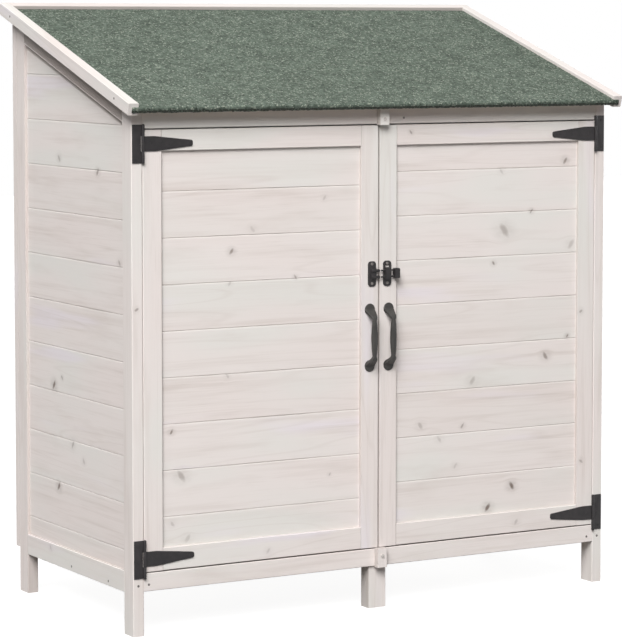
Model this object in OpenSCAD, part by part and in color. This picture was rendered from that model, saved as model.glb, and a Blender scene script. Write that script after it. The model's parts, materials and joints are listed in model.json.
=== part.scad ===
// Garden shed on short legs, with a felt roof that slopes to the front and a pair of boarded doors.
// Lengths are in millimetres. +Z is up and the doors face -Y.

/* [Shed] */
// Width over the corner posts
body_w = 1300; // [1150:10:1450]
// Depth over the corner posts
body_d = 623; // [520:1:760]
// Height of the roof underside at the front face
eaves_h = 1200; // [1080:5:1320]
// Slope of the roof in degrees
roof_slope = 18; // [12:1:22]
// Clear height under the front rail
leg_h = 102; // [80:1:130]

/* [Timber] */
// Width of a framing bar
bar_w = 47; // [42:1:50]
// Thickness of a framing bar
bar_t = 27; // [25:1:30]
// Chamfer along the edges of planed timber
ease = 1.2; // [0.6:0.1:1.6]
// Thickness of a tongued board
board_t = 10; // [9:0.5:11]
// Visible width of a wall board
wall_cover = 107.5; // [90:0.5:120]
// Visible width of a door board
door_cover = 106; // [90:0.5:120]
// Depth of the boards behind the frame face
panel_recess = 7; // [5:0.5:8]

/* [Roof] */
// Distance from the front face to the lower front corner of the roof
front_overhang = 32; // [24:1:45]
// Width of the edge trims
trim_w = 25; // [20:1:30]
// Height of the edge trims
trim_h = 28; // [26:1:34]
// Thickness of the roof boards
deck_t = 12; // [10:1:14]
// Thickness of the roofing felt
felt_t = 2.5; // [2:0.5:3]

/* [Doors] */
// Width of a door stile
stile_w = 48; // [42:1:54]
// Height of a door bottom rail
door_foot_h = 52; // [44:1:60]
// Thickness of a door
door_t = 22; // [21:0.5:26]
// Gap between the two doors
meeting_gap = 3; // [2:0.5:5]

/* [Ironmongery] */
// Length of a hinge strap from its pin
strap_len = 127; // [100:1:140]
// Height of a hinge leaf
leaf_h = 87; // [70:1:100]
// Distance between the pad centres of a handle
handle_pitch = 134; // [110:1:160]
// Reach of a handle grip's centre line from the door
handle_reach = 24; // [22:1:32]

/* [Hidden] */
$fn = 48;

// Fits shared by every joint
groove_depth = 8;
groove_slack = 0.2;
end_slack = 0.3;
tenon_len = 14;
tenon_t = 9;
tenon_shoulder = 9;
tongue_len = 5;
tongue_slack = 0.3;
board_gap = 0.2;
least_board = 20;
pin_slack = 0.05;
free_slack = 0.3;
cut = 1;
far = 2000;

// Framing levels and faces
half_w = body_w / 2;
inner_x = half_w - bar_t;
rail_h = 41.5;
rail_t = 18;
rail_top = leg_h + rail_h;
header_h = 48;
header_bottom = eaves_h - header_h;
side_rail_drop = 6;
side_rail_h = 49.5;
side_rail_bottom = leg_h - side_rail_drop;
side_rail_top = side_rail_bottom + side_rail_h;
wall_seam = 191;
back_seam = 231;
back_t = 22;
back_lift = 6;
back_bottom = leg_h + back_lift;
back_bar_h = 48;
back_top_bar_h = 70;
back_face = body_d + back_t;
floor_t = 12;
floor_count = 6;
floor_cover = (body_d - rail_t) / floor_count;
bearer_h = rail_h - floor_t;

// Middle leg, housed behind the front rail
leg_w = 47;
leg_d = 36;
leg_set_back = 6;

// Roof: local Y runs up the slope and local Z is square to it
barge_lap = 6;
felt_flap = 12;
flap_lap = 16;
function under_roof(y) = eaves_h + y * tan(roof_slope);
roof_y = -front_overhang;
roof_z = under_roof(roof_y) - barge_lap / cos(roof_slope);
deck_len = (back_face + barge_lap * sin(roof_slope) - roof_y) / cos(roof_slope);
roof_len = deck_len + trim_w;
deck_count = 7;
felt_z = barge_lap + deck_t;

// The row origin is the centre of the footprint of the whole shed
front_most = roof_y - max(trim_h * sin(roof_slope),
                          felt_t * cos(roof_slope) + (felt_z + felt_t) * sin(roof_slope));
rear_most = roof_y + roof_len * cos(roof_slope);
front_y = -(front_most + rear_most) / 2;

// Doors
door_gap = 3;
hinge_gap = 1.5;
door_set_back = 0.3;
door_bottom = rail_top + door_gap;
door_top = header_bottom - door_gap;
door_h = door_top - door_bottom;
door_w = (2 * inner_x - 2 * hinge_gap - meeting_gap) / 2;
door_x = inner_x - hinge_gap;
door_head_h = stile_w;
panel_low = door_bottom + door_foot_h;
panel_high = door_top - door_head_h;
left_seam = 1009;
right_seam = 1038;

// Hinges: the pin stands in front of the gap between post and door
barrel_r = 3.6;
pin_r = 1.5;
pin_head_r = 2.6;
pin_head_t = 0.8;
plate_t = 2;
pin_x = inner_x - 0.8;
leaf_w = 26;
knuckle_h = 34;
knuckle_gap = 0.3;
strap_shoulder = 31;
strap_tip_h = 14;
strap_tip_r = 4.5;
hinge_top_drop = 31;
hinge_foot_rise = 29.5;
hinge_top_z = door_top - hinge_top_drop;
hinge_bottom_z = door_bottom + hinge_foot_rise;

// Latch: a forked bolt on the right door and its keeper on the left door
latch_rise = 652.5;
latch_z = door_bottom + latch_rise;
latch_plate_w = 22;
latch_plate_h = 60;
latch_plate_r = 8;
latch_plate_x = 22;
keeper_x = -20;
prong_r = 2;
prong_pitch = 15;
prong_y = -6;
rest_gap = 1;
prong_tip = meeting_gap / 2 + rest_gap;
latch_travel = 10;
housing_x = 12;
housing_w = 14;
housing_h = 26;
housing_d = 9.6;
thumb_w = 13;
thumb_h = 24;
thumb_d = 12;
thumb_r = 3;
thumb_x = housing_x + housing_w + latch_travel + rest_gap;
socket_r = 3.4;
socket_len = 22;
socket_edge = 0.5;
slot_w = 11;
slot_h = 4.5;
slot_z = housing_h / 2 + 1.5;

// Handles
handle_rise = 502;
handle_z = door_bottom + handle_rise;
handle_x = 26;
pad_r = 14;
pad_t = 3;
grip_w = 15;
grip_t = 9;
neck_w = 8.5;
neck_drop = 24;
foot_r = 12.5;
foot_rise = 3;
crown_r = 18;
swell_steps = 480;
bend_r = 15;
bend_angle = 55;
bend_steps = 6;

// Turn buttons: at rest they stop short of the doors, and lap them when they are turned half way round
button_w = 26;
button_t = 16;
button_short = 14;
top_button_long = 26;
foot_button_short = 17.5;
foot_button_long = 28;
top_button_x = 6;
foot_button_x = 1.5;
top_button_z = door_top + button_short + rest_gap;
foot_button_z = door_bottom - foot_button_short - rest_gap;
screw_r = 2;
screw_head_r = 4.2;
screw_head_t = 1.6;
screw_bite = 12;

// Moves shed coordinates, where Y is 0 at the front face, to the row frame
module shed() {
    translate([0, front_y, 0]) children();
}

module on_slope() {
    translate([0, roof_y, roof_z]) rotate([roof_slope, 0, 0]) children();
}

// Everything from the roof underside upwards
module above_walls() {
    on_slope() translate([-far, -far, barge_lap]) cube([2 * far, 2 * far, far]);
}

module eased_rect(w, h) {
    polygon([
        [ease, 0], [w - ease, 0], [w, ease], [w, h - ease],
        [w - ease, h], [ease, h], [0, h - ease], [0, ease]
    ]);
}

// Planed bars that start at the origin and run along one axis
module bar_x(len, d, h) {
    rotate([90, 0, 90]) linear_extrude(len) eased_rect(d, h);
}

module bar_y(len, w, h) {
    translate([0, len, 0]) rotate([90, 0, 0]) linear_extrude(len) eased_rect(w, h);
}

module bar_z(len, w, d) {
    linear_extrude(len) eased_rect(w, d);
}

module rounded_rect(w, h, r) {
    square([w - 2 * r, h], center = true);
    square([w, h - 2 * r], center = true);
    for (sx = [-1, 1], sy = [-1, 1])
        translate([sx * (w / 2 - r), sy * (h / 2 - r)]) circle(r);
}

// A plate that stands in the XZ plane, with its back on Y = 0
module plate(t) {
    rotate([90, 0, 0]) linear_extrude(t) children();
}

// A bar along X between two uprights, with a tenon on both ends
module tenoned_x(x0, x1, y, z, d, h) {
    translate([x0, y, z]) bar_x(x1 - x0, d, h);
    translate([x0 - tenon_len, y + (d - tenon_t) / 2, z + tenon_shoulder])
        cube([x1 - x0 + 2 * tenon_len, tenon_t, h - 2 * tenon_shoulder]);
}

// The space that such a tenon takes in the uprights
module mortise_x(x0, x1, y, z, d, h) {
    translate([
        x0 - tenon_len - end_slack,
        y + (d - tenon_t) / 2 - groove_slack,
        z + tenon_shoulder - groove_slack
    ])
        cube([
            x1 - x0 + 2 * (tenon_len + end_slack),
            tenon_t + 2 * groove_slack,
            h - 2 * tenon_shoulder + 2 * groove_slack
        ]);
}

// The grooved and tongued edges of a board section
function groove_edge(low, t) = [
    [2 * t / 3 + tongue_slack, low], [2 * t / 3 + tongue_slack, low + tongue_len + 1],
    [t / 3 - tongue_slack, low + tongue_len + 1], [t / 3 - tongue_slack, low]
];
function tongue_edge(high, t) = [
    [t / 3, high], [t / 3, high + tongue_len], [2 * t / 3, high + tongue_len], [2 * t / 3, high]
];

// One tongued board as a section: X is its thickness, Y its width, and the face with chamfers is at X = 0
module board_section(low, high, groove, tongue, t) {
    polygon(concat(
        [[0, low + ease], [0, high - ease], [ease, high]],
        tongue ? tongue_edge(high, t) : [],
        [[t, high], [t, low]],
        groove ? groove_edge(low, t) : [],
        [[ease, low]]
    ));
}

// Boards along X, centred, stacked up Z from low to high with a joint at the height called seam.
// A strip narrower than the least board is left on its neighbour.
module board_stack(low, high, seam, cover, len, t) {
    first = floor((low + least_board - seam) / cover);
    last = ceil((high - least_board - seam) / cover) - 1;
    for (k = [first : last]) {
        foot = k == first ? low : seam + k * cover;
        head = k == last ? high : seam + (k + 1) * cover - board_gap;
        translate([-len / 2, 0, 0]) rotate([90, 0, 90]) linear_extrude(len)
            board_section(foot, head, k > first, k < last, t);
    }
}

// Posts

module side_groove(y0, y1, z0, z1) {
    translate([-half_w + panel_recess - groove_slack, y0, z0])
        cube([board_t + 2 * groove_slack, y1 - y0, z1 - z0]);
}

wall_y0 = bar_w - groove_depth;
wall_y1 = body_d - bar_w + groove_depth;

module front_post_left() {
    shed() difference() {
        translate([-half_w, 0, 0]) bar_z(eaves_h + bar_w, bar_t, bar_w);
        above_walls();
        side_groove(wall_y0 - end_slack, bar_w + cut, side_rail_bottom, far);
        side_rail_mortise();
        rail_mortises();
    }
}

module rear_post_left() {
    shed() difference() {
        translate([-half_w, body_d - bar_w, 0]) bar_z(under_roof(body_d) + bar_w, bar_t, bar_w);
        above_walls();
        side_groove(body_d - bar_w - cut, wall_y1 + end_slack, side_rail_bottom, far);
        side_rail_mortise();
    }
}

module rail_mortises() {
    mortise_x(-inner_x, inner_x, 0, leg_h, rail_t, rail_h);
    mortise_x(-inner_x, inner_x, 0, header_bottom, bar_t, header_h);
}

module side_rail_mortise() {
    translate([-half_w + (bar_t - tenon_t) / 2 - groove_slack, bar_w - tenon_len - end_slack,
               side_rail_bottom + tenon_shoulder - groove_slack])
        cube([tenon_t + 2 * groove_slack, body_d - 2 * bar_w + 2 * (tenon_len + end_slack),
              side_rail_h - 2 * tenon_shoulder + 2 * groove_slack]);
}

module post_front_left() color("gainsboro") front_post_left();
module post_front_right() color("gainsboro") mirror([1, 0, 0]) front_post_left();
module post_rear_left() color("gainsboro") rear_post_left();
module post_rear_right() color("gainsboro") mirror([1, 0, 0]) rear_post_left();

module leg_front_middle() color("gainsboro") {
    shed() difference() {
        translate([-leg_w / 2, leg_set_back, 0]) bar_z(leg_h + bearer_h, leg_w, leg_d);
        translate([-leg_w, leg_set_back - cut, leg_h])
            cube([2 * leg_w, rail_t - leg_set_back + cut, rail_h]);
    }
}

// Front frame

module front_rail() color("whitesmoke") {
    shed() difference() {
        tenoned_x(-inner_x, inner_x, 0, leg_h, rail_t, rail_h);
        button_screw_hole(foot_button_x, foot_button_z);
    }
}

module header() color("whitesmoke") {
    shed() difference() {
        union() {
            translate([-inner_x, 0, header_bottom]) bar_x(2 * inner_x, bar_t, header_h + bar_t);
            tenoned_x(-inner_x, inner_x, 0, header_bottom, bar_t, header_h);
        }
        above_walls();
        button_screw_hole(top_button_x, top_button_z);
    }
}

module button_screw_hole(x, z) {
    translate([x, screw_bite + cut, z]) rotate([90, 0, 0])
        cylinder(r = screw_r + free_slack, h = screw_bite + 2 * cut);
}

// Side walls

module side_bottom_rail() {
    shed() difference() {
        union() {
            translate([-half_w, bar_w, side_rail_bottom]) bar_y(body_d - 2 * bar_w, bar_t, side_rail_h);
            translate([-half_w + (bar_t - tenon_t) / 2, bar_w - tenon_len, side_rail_bottom + tenon_shoulder])
                cube([tenon_t, body_d - 2 * bar_w + 2 * tenon_len, side_rail_h - 2 * tenon_shoulder]);
        }
        side_groove(bar_w - cut, body_d - bar_w + cut, side_rail_top - groove_depth - end_slack, far);
    }
}

// The sloping rail is a straight bar on the slope, cut upright where it meets the posts
module side_top_rail() {
    shed() difference() {
        intersection() {
            on_slope() translate([-half_w, 0, barge_lap - bar_w]) bar_y(roof_len, bar_t, bar_w);
            translate([-far, bar_w, 0]) cube([2 * far, body_d - 2 * bar_w, far]);
        }
        on_slope() translate([0, 0, barge_lap - bar_w])
            side_groove(-far, far, -far, groove_depth + end_slack);
    }
}

module side_boards() {
    shed() intersection() {
        translate([-half_w + panel_recess, (wall_y0 + wall_y1) / 2, 0]) rotate([0, 0, -90])
            board_stack(side_rail_top - groove_depth, under_roof(wall_y1), wall_seam, wall_cover,
                        wall_y1 - wall_y0, board_t);
        on_slope() translate([-far, -far, barge_lap - bar_w + groove_depth - far])
            cube([2 * far, 2 * far, far]);
    }
}

module side_bottom_rail_left() color("gainsboro") side_bottom_rail();
module side_bottom_rail_right() color("gainsboro") mirror([1, 0, 0]) side_bottom_rail();
module side_top_rail_left() color("gainsboro") side_top_rail();
module side_top_rail_right() color("gainsboro") mirror([1, 0, 0]) side_top_rail();
module side_boards_left() color("linen") side_boards();
module side_boards_right() color("linen") mirror([1, 0, 0]) side_boards();

// Back panel, fixed behind the rear posts

back_rail_x = half_w - back_bar_h;
back_rail_top = under_roof(body_d) - back_top_bar_h;

module back_groove(x0, x1, z0, z1) {
    translate([x0, body_d + (back_t - board_t) / 2 - groove_slack, z0])
        cube([x1 - x0, board_t + 2 * groove_slack, z1 - z0]);
}

module back_stile() {
    shed() difference() {
        translate([-half_w, body_d, back_bottom])
            bar_z(under_roof(back_face) - back_bottom + bar_w, back_bar_h, back_t);
        above_walls();
        back_groove(-back_rail_x - groove_depth - end_slack, far,
                    back_bottom + back_bar_h - groove_depth, back_rail_top + groove_depth);
        mortise_x(-back_rail_x, back_rail_x, body_d, back_bottom, back_t, back_bar_h);
        mortise_x(-back_rail_x, back_rail_x, body_d, back_rail_top, back_t, back_top_bar_h);
    }
}

module back_stile_left() color("gainsboro") back_stile();
module back_stile_right() color("gainsboro") mirror([1, 0, 0]) back_stile();

module back_top_rail() color("gainsboro") {
    shed() difference() {
        union() {
            translate([-back_rail_x, body_d, back_rail_top])
                bar_x(2 * back_rail_x, back_t, back_top_bar_h + bar_t);
            tenoned_x(-back_rail_x, back_rail_x, body_d, back_rail_top, back_t, back_top_bar_h);
        }
        above_walls();
        back_groove(-back_rail_x - cut, back_rail_x + cut,
                    back_rail_top - cut, back_rail_top + groove_depth + end_slack);
    }
}

module back_bottom_rail() color("gainsboro") {
    shed() difference() {
        tenoned_x(-back_rail_x, back_rail_x, body_d, back_bottom, back_t, back_bar_h);
        back_groove(-back_rail_x - cut, back_rail_x + cut,
                    back_bottom + back_bar_h - groove_depth - end_slack, far);
    }
}

module back_boards() color("linen") {
    shed() translate([0, body_d + (back_t + board_t) / 2, 0]) mirror([0, 1, 0])
        board_stack(back_bottom + back_bar_h - groove_depth, back_rail_top + groove_depth, back_seam,
                    wall_cover, 2 * (back_rail_x + groove_depth), board_t);
}

// Floor

module floor_bearers() color("tan") {
    shed() {
        for (x = [-inner_x, inner_x - bar_t])
            translate([x, rail_t, leg_h]) bar_y(body_d - rail_t, bar_t, bearer_h);
        translate([-bar_t / 2, leg_set_back + leg_d, leg_h])
            bar_y(body_d - leg_set_back - leg_d, bar_t, bearer_h);
    }
}

module floor_boards() color("tan") {
    shed() translate([0, 0, rail_top]) rotate([-90, 0, 0])
        board_stack(rail_t, body_d, rail_t, floor_cover, 2 * inner_x, floor_t);
}

// Roof

module roof_boards() color("burlywood") {
    shed() on_slope() translate([0, 0, barge_lap]) mirror([0, 0, 1]) rotate([-90, 0, 0])
        board_stack(0, deck_len, 0, deck_len / deck_count, body_w, deck_t);
}

// The felt lies between the barge boards and turns down over the front ends
module roof_felt() color("darkseagreen") {
    shed() on_slope() {
        translate([-half_w + end_slack, -felt_t, felt_z])
            cube([body_w - 2 * end_slack, felt_t + deck_len - end_slack, felt_t]);
        translate([-half_w - flap_lap, -felt_t, felt_z + felt_t - felt_flap])
            cube([body_w + 2 * flap_lap, felt_t, felt_flap]);
    }
}

module barge() {
    shed() on_slope() translate([-half_w - trim_w, 0, 0]) bar_y(roof_len, trim_w, trim_h);
}

module barge_left() color("white") barge();
module barge_right() color("white") mirror([1, 0, 0]) barge();

module rear_trim() color("white") {
    shed() on_slope() translate([-half_w, deck_len, 0]) bar_x(body_w, trim_w, trim_h);
}

// Doors: every piece is drawn for the left door and mirrored for the right one

module door_rail_mortises() {
    door_rail_frame() mortise_x(0, door_w - 2 * stile_w, 0, 0, door_t, door_foot_h);
    door_head_frame() mortise_x(0, door_w - 2 * stile_w, 0, 0, door_t, door_head_h);
}

module door_rail_frame() {
    translate([-door_x + stile_w, door_set_back, door_bottom]) children();
}

module door_head_frame() {
    translate([-door_x + stile_w, door_set_back, panel_high]) children();
}

module panel_groove(x0, x1, z0, z1) {
    translate([x0, door_set_back + panel_recess - groove_slack, z0])
        cube([x1 - x0, board_t + 2 * groove_slack, z1 - z0]);
}

panel_x0 = -door_x + stile_w;
panel_x1 = -door_x + door_w - stile_w;

module door_stile(x) {
    shed() difference() {
        translate([x, door_set_back, door_bottom]) bar_z(door_h, stile_w, door_t);
        panel_groove(panel_x0 - groove_depth - end_slack, panel_x1 + groove_depth + end_slack,
                     panel_low - groove_depth, panel_high + groove_depth);
        door_rail_mortises();
    }
}

module hinge_stile() {
    door_stile(-door_x);
}

module lock_stile() {
    door_stile(panel_x1);
}

module door_head() {
    shed() difference() {
        door_head_frame() tenoned_x(0, door_w - 2 * stile_w, 0, 0, door_t, door_head_h);
        panel_groove(panel_x0 - cut, panel_x1 + cut, panel_high - cut, panel_high + groove_depth + end_slack);
    }
}

module door_foot() {
    shed() difference() {
        door_rail_frame() tenoned_x(0, door_w - 2 * stile_w, 0, 0, door_t, door_foot_h);
        panel_groove(panel_x0 - cut, panel_x1 + cut, panel_low - groove_depth - end_slack, panel_low + cut);
    }
}

module door_boards(seam) {
    shed() translate([(panel_x0 + panel_x1) / 2, door_set_back + panel_recess, 0])
        board_stack(panel_low - groove_depth, panel_high + groove_depth, seam, door_cover,
                    panel_x1 - panel_x0 + 2 * groove_depth, board_t);
}

module left_hinge_stile() color("whitesmoke") hinge_stile();
module left_lock_stile() color("whitesmoke") lock_stile();
module left_top_rail() color("whitesmoke") door_head();
module left_bottom_rail() color("whitesmoke") door_foot();
module left_door_boards() color("linen") door_boards(left_seam);
module right_hinge_stile() color("whitesmoke") mirror([1, 0, 0]) hinge_stile();
module right_lock_stile() color("whitesmoke") mirror([1, 0, 0]) lock_stile();
module right_top_rail() color("whitesmoke") mirror([1, 0, 0]) door_head();
module right_bottom_rail() color("whitesmoke") mirror([1, 0, 0]) door_foot();
module right_door_boards() color("linen") mirror([1, 0, 0]) door_boards(right_seam);

// Hinges: each is drawn about its pin, with the leaf towards -X and the strap towards +X

module at_pin(z) {
    shed() translate([-pin_x, -barrel_r, z]) children();
}

module knuckle(z0, z1) {
    translate([0, 0, z0]) cylinder(r = barrel_r, h = z1 - z0);
}

module pin_bore() {
    translate([0, 0, -leaf_h]) cylinder(r = pin_r + pin_slack, h = 2 * leaf_h);
}

module hinge_leaf(z) {
    at_pin(z) difference() {
        union() {
            translate([0, barrel_r, 0]) plate(plate_t) translate([-leaf_w / 2, 0])
                square([leaf_w, leaf_h], center = true);
            knuckle(-leaf_h / 2, -knuckle_h / 2 - knuckle_gap);
            knuckle(knuckle_h / 2 + knuckle_gap, leaf_h / 2);
        }
        translate([-barrel_r - 2 * knuckle_gap, -2 * barrel_r, -knuckle_h / 2 - knuckle_gap])
            cube([4 * barrel_r, 4 * barrel_r, knuckle_h + 2 * knuckle_gap]);
        pin_bore();
    }
}

// The strap keeps its full height up to the shoulder, then tapers to an end with rounded corners
module strap_outline() {
    end_x = strap_len - strap_tip_r;
    corner_z = strap_tip_h / 2 - strap_tip_r;
    polygon([
        [0, -knuckle_h / 2], [strap_shoulder, -knuckle_h / 2], [end_x, -strap_tip_h / 2],
        [end_x, strap_tip_h / 2], [strap_shoulder, knuckle_h / 2], [0, knuckle_h / 2]
    ]);
    translate([end_x - cut, -corner_z]) square([strap_tip_r + cut, 2 * corner_z]);
    for (side = [-1, 1])
        translate([end_x, side * corner_z]) circle(strap_tip_r);
}

module hinge_strap(z) {
    at_pin(z) difference() {
        union() {
            knuckle(-knuckle_h / 2, knuckle_h / 2);
            translate([0, barrel_r + door_set_back, 0]) plate(plate_t) strap_outline();
        }
        pin_bore();
    }
}

module hinge_pin(z) {
    at_pin(z) {
        translate([0, 0, -leaf_h / 2]) cylinder(r = pin_r, h = leaf_h);
        for (end = [-leaf_h / 2 - pin_head_t, leaf_h / 2])
            translate([0, 0, end]) cylinder(r = pin_head_r, h = pin_head_t);
    }
}

module leaf_left_top() color("dimgray") hinge_leaf(hinge_top_z);
module leaf_left_bottom() color("dimgray") hinge_leaf(hinge_bottom_z);
module leaf_right_top() color("dimgray") mirror([1, 0, 0]) hinge_leaf(hinge_top_z);
module leaf_right_bottom() color("dimgray") mirror([1, 0, 0]) hinge_leaf(hinge_bottom_z);
module strap_left_top() color("dimgray") hinge_strap(hinge_top_z);
module strap_left_bottom() color("dimgray") hinge_strap(hinge_bottom_z);
module strap_right_top() color("dimgray") mirror([1, 0, 0]) hinge_strap(hinge_top_z);
module strap_right_bottom() color("dimgray") mirror([1, 0, 0]) hinge_strap(hinge_bottom_z);
module hinge_pins() color("gray") {
    for (side = [0, 1], z = [hinge_bottom_z, hinge_top_z])
        mirror([side, 0, 0]) hinge_pin(z);
}

// Latch

module on_door(x, z) {
    shed() translate([x, door_set_back, z]) children();
}

module prongs(x0, x1, r) {
    for (side = [-1, 1])
        translate([x0, prong_y, side * prong_pitch / 2]) rotate([0, 90, 0]) cylinder(r = r, h = x1 - x0);
}

module latch_plate() color("dimgray") {
    on_door(0, latch_z) difference() {
        union() {
            translate([latch_plate_x, 0, 0]) plate(plate_t)
                rounded_rect(latch_plate_w, latch_plate_h, latch_plate_r);
            translate([housing_x, -housing_d - plate_t, -housing_h / 2])
                cube([housing_w, housing_d + plate_t, housing_h]);
        }
        prongs(housing_x - cut, housing_x + housing_w + cut, prong_r + free_slack);
        translate([latch_plate_x - slot_w / 2, -plate_t - cut, slot_z])
            cube([slot_w, plate_t + 2 * cut, slot_h]);
    }
}

module latch_bolt() color("dimgray") {
    on_door(0, latch_z) {
        prongs(prong_tip, thumb_x + thumb_w / 2, prong_r);
        translate([thumb_x + thumb_w / 2, -plate_t - free_slack, 0]) plate(thumb_d)
            rounded_rect(thumb_w, thumb_h, thumb_r);
    }
}

socket_x = -meeting_gap / 2 - socket_edge;

module latch_keeper() color("dimgray") {
    on_door(0, latch_z) difference() {
        union() {
            translate([keeper_x, 0, 0]) plate(plate_t)
                rounded_rect(latch_plate_w, latch_plate_h, latch_plate_r);
            prongs(socket_x - socket_len, socket_x, socket_r);
            translate([socket_x - socket_len, prong_y, -housing_h / 2])
                cube([housing_w, -prong_y, housing_h]);
        }
        prongs(-meeting_gap / 2 - latch_travel, 0, prong_r + free_slack);
    }
}

// Handles

// The bow is a flat bar in side view: U is its reach from the door and V its height
bow_out = handle_reach + grip_t / 2;
bow_foot_v = handle_pitch / 2 + foot_rise;
bend_u = bow_out - bend_r;
bend_v = bow_foot_v - bow_out / tan(bend_angle) - bend_r * tan(bend_angle / 2);
foot_u = pad_t / 2;

function arc(r, from, to, side) = [
    for (i = [0 : bend_steps])
        let (a = from + (to - from) * i / bend_steps)
        [bend_u + r * cos(a), side * (bend_v + r * sin(a))]
];
// The point where the straight arm, tangent to the bend of radius r, reaches the pad
function arm_foot(r) = [
    foot_u,
    bend_v + r * sin(bend_angle) + (bend_u + r * cos(bend_angle) - foot_u) / tan(bend_angle)
];
function flipped(point) = [point[0], -point[1]];

module bow_side() {
    inner_r = bend_r - grip_t;
    polygon(concat(
        [arm_foot(bend_r)], arc(bend_r, bend_angle, 0, 1), arc(bend_r, 0, bend_angle, -1),
        [flipped(arm_foot(bend_r)), flipped(arm_foot(inner_r))],
        arc(inner_r, bend_angle, 0, -1), arc(inner_r, 0, bend_angle, 1), [arm_foot(inner_r)]
    ));
}

// Seen from the front the grip swells between two necks, and each neck flares into its pad
neck_v = handle_pitch / 2 - neck_drop;
swell_drop = (grip_w - neck_w) / 2;
swell_r = (pow(neck_v, 2) + pow(swell_drop, 2)) / (2 * swell_drop);

module bow_front() {
    intersection() {
        swelling_grip();
        square([grip_w, 2 * neck_v], center = true);
    }
    for (side = [0, 1]) mirror([0, side, 0]) translate([0, handle_pitch / 2]) {
        lean = acos((foot_r - neck_w / 2) / neck_drop);
        polygon([
            [foot_r * sin(lean), -foot_r * cos(lean)],
            [neck_w / 2 * sin(lean), -neck_drop - neck_w / 2 * cos(lean)],
            [-neck_w / 2 * sin(lean), -neck_drop - neck_w / 2 * cos(lean)],
            [-foot_r * sin(lean), -foot_r * cos(lean)]
        ]);
        circle(foot_r);
    }
}

// The swelling grip is where two large circles overlap
module swelling_grip() {
    intersection() {
        translate([swell_r - grip_w / 2, 0]) circle(swell_r, $fn = swell_steps);
        translate([grip_w / 2 - swell_r, 0]) circle(swell_r, $fn = swell_steps);
    }
}

// The outer face is crowned across the grip
module bow_section() {
    translate([-crown_r, 0]) square([2 * crown_r, bow_out - crown_r]);
    translate([0, bow_out - crown_r]) circle(crown_r);
}

module handle(x) {
    on_door(x, handle_z) {
        intersection() {
            translate([handle_pitch, 0, 0]) rotate([90, 0, -90]) linear_extrude(2 * handle_pitch) bow_side();
            mirror([0, 1, 0]) translate([0, 0, -handle_pitch]) linear_extrude(2 * handle_pitch) bow_section();
            plate(2 * bow_out) bow_front();
        }
        for (side = [-1, 1])
            translate([0, 0, side * handle_pitch / 2]) plate(pad_t) circle(pad_r);
    }
}

module handle_left() color("dimgray") handle(-handle_x);
module handle_right() color("dimgray") handle(handle_x);

// Turn buttons

module turn_button(x, z, low, high) {
    shed() difference() {
        translate([x - button_w / 2, -button_t, z - low]) bar_z(low + high, button_w, button_t);
        translate([x, cut, z]) rotate([90, 0, 0]) cylinder(r = screw_r + pin_slack, h = button_t + 2 * cut);
    }
}

module button_screw(x, z) {
    shed() translate([x, -button_t, z]) {
        rotate([-90, 0, 0]) cylinder(r = screw_r, h = button_t + screw_bite);
        rotate([90, 0, 0]) cylinder(r = screw_head_r, h = screw_head_t);
    }
}

module turn_button_top() color("white") {
    turn_button(top_button_x, top_button_z, button_short, top_button_long);
}
module turn_button_bottom() color("white") {
    turn_button(foot_button_x, foot_button_z, foot_button_long, foot_button_short);
}
module turn_button_screws() color("silver") {
    button_screw(top_button_x, top_button_z);
    button_screw(foot_button_x, foot_button_z);
}

post_front_left();
post_front_right();
post_rear_left();
post_rear_right();
leg_front_middle();
front_rail();
header();
side_bottom_rail_left();
side_bottom_rail_right();
side_top_rail_left();
side_top_rail_right();
side_boards_left();
side_boards_right();
back_stile_left();
back_stile_right();
back_top_rail();
back_bottom_rail();
back_boards();
floor_bearers();
floor_boards();
roof_boards();
roof_felt();
barge_left();
barge_right();
rear_trim();
left_hinge_stile();
left_lock_stile();
left_top_rail();
left_bottom_rail();
left_door_boards();
right_hinge_stile();
right_lock_stile();
right_top_rail();
right_bottom_rail();
right_door_boards();
leaf_left_top();
leaf_left_bottom();
leaf_right_top();
leaf_right_bottom();
strap_left_top();
strap_left_bottom();
strap_right_top();
strap_right_bottom();
hinge_pins();
latch_plate();
latch_bolt();
latch_keeper();
handle_left();
handle_right();
turn_button_top();
turn_button_bottom();
turn_button_screws();
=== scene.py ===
import json
import math

import bmesh
import bpy
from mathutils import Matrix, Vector, noise

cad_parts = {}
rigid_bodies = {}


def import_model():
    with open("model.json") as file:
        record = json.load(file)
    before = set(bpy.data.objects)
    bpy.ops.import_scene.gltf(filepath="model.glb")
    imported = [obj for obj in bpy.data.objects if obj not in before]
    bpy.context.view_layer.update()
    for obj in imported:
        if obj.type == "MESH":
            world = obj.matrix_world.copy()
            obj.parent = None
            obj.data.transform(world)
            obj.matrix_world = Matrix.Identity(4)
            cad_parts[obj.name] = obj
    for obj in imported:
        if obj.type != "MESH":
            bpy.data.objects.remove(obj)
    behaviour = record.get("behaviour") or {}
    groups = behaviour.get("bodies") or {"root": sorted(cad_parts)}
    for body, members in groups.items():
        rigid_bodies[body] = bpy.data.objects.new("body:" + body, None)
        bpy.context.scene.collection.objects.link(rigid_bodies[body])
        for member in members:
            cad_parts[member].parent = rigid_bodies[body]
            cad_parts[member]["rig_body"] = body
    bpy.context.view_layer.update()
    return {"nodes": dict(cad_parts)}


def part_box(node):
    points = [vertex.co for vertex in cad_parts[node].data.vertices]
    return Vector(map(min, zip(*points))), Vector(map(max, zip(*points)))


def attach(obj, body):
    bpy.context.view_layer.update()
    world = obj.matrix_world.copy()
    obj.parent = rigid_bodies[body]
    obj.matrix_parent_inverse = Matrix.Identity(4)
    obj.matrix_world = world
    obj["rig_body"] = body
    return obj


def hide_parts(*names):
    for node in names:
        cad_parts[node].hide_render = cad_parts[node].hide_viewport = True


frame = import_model()

# Lengths are in metres. The wooden shed faces -Y and its roof slopes down to the front.

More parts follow.
